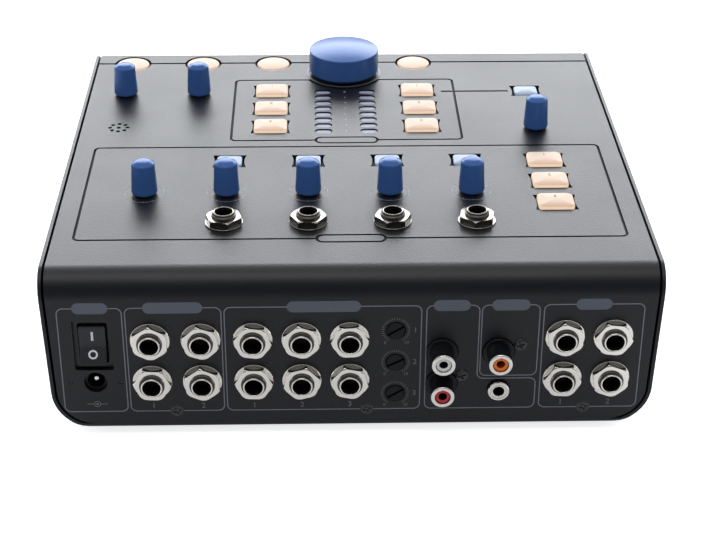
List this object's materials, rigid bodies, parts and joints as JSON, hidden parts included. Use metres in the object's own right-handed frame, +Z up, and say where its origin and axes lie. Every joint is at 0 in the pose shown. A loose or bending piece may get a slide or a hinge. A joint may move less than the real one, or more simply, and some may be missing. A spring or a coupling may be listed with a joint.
{
  "type": "studio monitor controller",
  "caption": "Desktop audio monitor controller: flat control top with knobs, lit keys, level meter and headphone sockets, and a rear panel of line sockets, trimmers and power switch.",
  "frame": {"origin": "middle of the outer box in plan, on the surface that the feet stand on", "axes": "+X towards the power end of the rear panel, +Y towards the rear socket panel, -Y towards the user, +Z up"},
  "size_m": [0.216, 0.211, 0.0788],
  "materials": {
    "tub": "satin black",
    "panel": "satin black with fine texture",
    "board": "green solder mask",
    "knob_blue": "satin blue anodised",
    "key_peach": "translucent peach, soft sheen",
    "key_white": "translucent cool white, soft sheen",
    "lens": "frosted blue grey light pipes",
    "jack_metal": "nickel plated",
    "black_plastic": "satin black moulded",
    "foot_rubber": "matt black",
    "screw_steel": "black oxide"
  },
  "bodies": {
    "case": {"bottom_shell": "tub", "top_panel": "panel", "foot_1": "foot_rubber", "foot_2": "foot_rubber", "foot_3": "foot_rubber", "foot_4": "foot_rubber", "main_board": "board", "jack_board": "board", "knob_collar": "black_plastic", "meter_lens": "lens", "phones_jack_1": "jack_metal", "phones_jack_2": "jack_metal", "phones_jack_3": "jack_metal", "phones_jack_4": "jack_metal", "line_jacks_main": "jack_metal", "line_jacks_cue": "jack_metal", "speaker_jacks_1": "jack_metal", "speaker_jacks_2": "jack_metal", "speaker_jacks_3": "jack_metal", "input_jacks_1": "jack_metal", "input_jacks_2": "jack_metal", "aux_phono_jacks": "jack_metal", "digital_phono_jack": "jack_metal", "mini_jack": "jack_metal", "power_inlet": "black_plastic", "rocker_switch_frame": "black_plastic", "rear_screw_power": "screw_steel", "rear_screw_middle": "screw_steel", "rear_screw_input": "screw_steel"},
    "main_knob": {"main_knob": "knob_blue"},
    "cue_knob": {"cue_knob": "knob_blue"},
    "talkback_knob": {"talkback_knob": "knob_blue"},
    "dim_knob": {"dim_knob": "knob_blue"},
    "aux_knob": {"aux_knob": "knob_blue"},
    "phones_knob_1": {"phones_knob_1": "knob_blue"},
    "phones_knob_2": {"phones_knob_2": "knob_blue"},
    "phones_knob_3": {"phones_knob_3": "knob_blue"},
    "phones_knob_4": {"phones_knob_4": "knob_blue"},
    "front_key_1": {"front_key_1": "key_peach"},
    "front_key_2": {"front_key_2": "key_peach"},
    "front_key_3": {"front_key_3": "key_peach"},
    "front_key_4": {"front_key_4": "key_peach"},
    "speaker_key_1": {"speaker_key_1": "key_peach"},
    "speaker_key_2": {"speaker_key_2": "key_peach"},
    "speaker_key_3": {"speaker_key_3": "key_peach"},
    "source_key_1": {"source_key_1": "key_peach"},
    "source_key_2": {"source_key_2": "key_peach"},
    "source_key_3": {"source_key_3": "key_peach"},
    "cue_source_key_1": {"cue_source_key_1": "key_peach"},
    "cue_source_key_2": {"cue_source_key_2": "key_peach"},
    "cue_source_key_3": {"cue_source_key_3": "key_peach"},
    "phones_select_key_1": {"phones_select_key_1": "key_white"},
    "phones_select_key_2": {"phones_select_key_2": "key_white"},
    "phones_select_key_3": {"phones_select_key_3": "key_white"},
    "phones_select_key_4": {"phones_select_key_4": "key_white"},
    "aux_select_key": {"aux_select_key": "key_white"},
    "speaker_trim_1": {"speaker_trim_1": "black_plastic"},
    "speaker_trim_2": {"speaker_trim_2": "black_plastic"},
    "speaker_trim_3": {"speaker_trim_3": "black_plastic"},
    "power_rocker": {"power_rocker": "black_plastic"}
  },
  "joints": [
    {"name": "main_knob_turn", "type": "hinge", "parent": "case", "child": "main_knob", "pos_m": [0, -0.0788, 0.065], "axis": [0, 0, 1], "range_deg": [-150, 150]},
    {"name": "cue_knob_turn", "type": "hinge", "parent": "case", "child": "cue_knob", "pos_m": [0.076, 0.0337, 0.065], "axis": [0, 0, 1], "range_deg": [-150, 150]},
    {"name": "talkback_knob_turn", "type": "hinge", "parent": "case", "child": "talkback_knob", "pos_m": [0.0912, -0.0575, 0.065], "axis": [0, 0, 1], "range_deg": [-150, 150]},
    {"name": "dim_knob_turn", "type": "hinge", "parent": "case", "child": "dim_knob", "pos_m": [0.0608, -0.0575, 0.065], "axis": [0, 0, 1], "range_deg": [-150, 150]},
    {"name": "aux_knob_turn", "type": "hinge", "parent": "case", "child": "aux_knob", "pos_m": [-0.076, -0.0222, 0.065], "axis": [0, 0, 1], "range_deg": [-150, 150]},
    {"name": "phones_knob_1_turn", "type": "hinge", "parent": "case", "child": "phones_knob_1", "pos_m": [0.0456, 0.0337, 0.065], "axis": [0, 0, 1], "range_deg": [-150, 150]},
    {"name": "phones_knob_2_turn", "type": "hinge", "parent": "case", "child": "phones_knob_2", "pos_m": [0.0152, 0.0337, 0.065], "axis": [0, 0, 1], "range_deg": [-150, 150]},
    {"name": "phones_knob_3_turn", "type": "hinge", "parent": "case", "child": "phones_knob_3", "pos_m": [-0.0152, 0.0337, 0.065], "axis": [0, 0, 1], "range_deg": [-150, 150]},
    {"name": "phones_knob_4_turn", "type": "hinge", "parent": "case", "child": "phones_knob_4", "pos_m": [-0.0456, 0.0337, 0.065], "axis": [0, 0, 1], "range_deg": [-150, 150]},
    {"name": "front_key_1_press", "type": "slide", "parent": "case", "child": "front_key_1", "axis": [0, 0, 1], "range_m": [-0.0008, 0], "stiffness_N_per_m": 250, "springref_m": 0.001},
    {"name": "front_key_2_press", "type": "slide", "parent": "case", "child": "front_key_2", "axis": [0, 0, 1], "range_m": [-0.0008, 0], "stiffness_N_per_m": 250, "springref_m": 0.001},
    {"name": "front_key_3_press", "type": "slide", "parent": "case", "child": "front_key_3", "axis": [0, 0, 1], "range_m": [-0.0008, 0], "stiffness_N_per_m": 250, "springref_m": 0.001},
    {"name": "front_key_4_press", "type": "slide", "parent": "case", "child": "front_key_4", "axis": [0, 0, 1], "range_m": [-0.0008, 0], "stiffness_N_per_m": 250, "springref_m": 0.001},
    {"name": "speaker_key_1_press", "type": "slide", "parent": "case", "child": "speaker_key_1", "axis": [0, 0, 1], "range_m": [-0.0008, 0], "stiffness_N_per_m": 250, "springref_m": 0.001},
    {"name": "speaker_key_2_press", "type": "slide", "parent": "case", "child": "speaker_key_2", "axis": [0, 0, 1], "range_m": [-0.0008, 0], "stiffness_N_per_m": 250, "springref_m": 0.001},
    {"name": "speaker_key_3_press", "type": "slide", "parent": "case", "child": "speaker_key_3", "axis": [0, 0, 1], "range_m": [-0.0008, 0], "stiffness_N_per_m": 250, "springref_m": 0.001},
    {"name": "source_key_1_press", "type": "slide", "parent": "case", "child": "source_key_1", "axis": [0, 0, 1], "range_m": [-0.0008, 0], "stiffness_N_per_m": 250, "springref_m": 0.001},
    {"name": "source_key_2_press", "type": "slide", "parent": "case", "child": "source_key_2", "axis": [0, 0, 1], "range_m": [-0.0008, 0], "stiffness_N_per_m": 250, "springref_m": 0.001},
    {"name": "source_key_3_press", "type": "slide", "parent": "case", "child": "source_key_3", "axis": [0, 0, 1], "range_m": [-0.0008, 0], "stiffness_N_per_m": 250, "springref_m": 0.001},
    {"name": "cue_source_key_1_press", "type": "slide", "parent": "case", "child": "cue_source_key_1", "axis": [0, 0, 1], "range_m": [-0.0008, 0], "stiffness_N_per_m": 250, "springref_m": 0.001},
    {"name": "cue_source_key_2_press", "type": "slide", "parent": "case", "child": "cue_source_key_2", "axis": [0, 0, 1], "range_m": [-0.0008, 0], "stiffness_N_per_m": 250, "springref_m": 0.001},
    {"name": "cue_source_key_3_press", "type": "slide", "parent": "case", "child": "cue_source_key_3", "axis": [0, 0, 1], "range_m": [-0.0008, 0], "stiffness_N_per_m": 250, "springref_m": 0.001},
    {"name": "phones_select_key_1_press", "type": "slide", "parent": "case", "child": "phones_select_key_1", "axis": [0, 0, 1], "range_m": [-0.0008, 0], "stiffness_N_per_m": 250, "springref_m": 0.001},
    {"name": "phones_select_key_2_press", "type": "slide", "parent": "case", "child": "phones_select_key_2", "axis": [0, 0, 1], "range_m": [-0.0008, 0], "stiffness_N_per_m": 250, "springref_m": 0.001},
    {"name": "phones_select_key_3_press", "type": "slide", "parent": "case", "child": "phones_select_key_3", "axis": [0, 0, 1], "range_m": [-0.0008, 0], "stiffness_N_per_m": 250, "springref_m": 0.001},
    {"name": "phones_select_key_4_press", "type": "slide", "parent": "case", "child": "phones_select_key_4", "axis": [0, 0, 1], "range_m": [-0.0008, 0], "stiffness_N_per_m": 250, "springref_m": 0.001},
    {"name": "aux_select_key_press", "type": "slide", "parent": "case", "child": "aux_select_key", "axis": [0, 0, 1], "range_m": [-0.0008, 0], "stiffness_N_per_m": 250, "springref_m": 0.001},
    {"name": "speaker_trim_1_turn", "type": "hinge", "parent": "case", "child": "speaker_trim_1", "pos_m": [-0.015, 0.0965, 0.043], "axis": [0, 1, 0], "range_deg": [-140, 140]},
    {"name": "speaker_trim_2_turn", "type": "hinge", "parent": "case", "child": "speaker_trim_2", "pos_m": [-0.015, 0.0965, 0.02995], "axis": [0, 1, 0], "range_deg": [-140, 140]},
    {"name": "speaker_trim_3_turn", "type": "hinge", "parent": "case", "child": "speaker_trim_3", "pos_m": [-0.015, 0.0965, 0.0169], "axis": [0, 1, 0], "range_deg": [-140, 140]},
    {"name": "power_rocker_tilt", "type": "hinge", "parent": "case", "child": "power_rocker", "pos_m": [0.0904, 0.0948, 0.0377], "axis": [1, 0, 0], "range_deg": [-16, 0]}
  ]
}
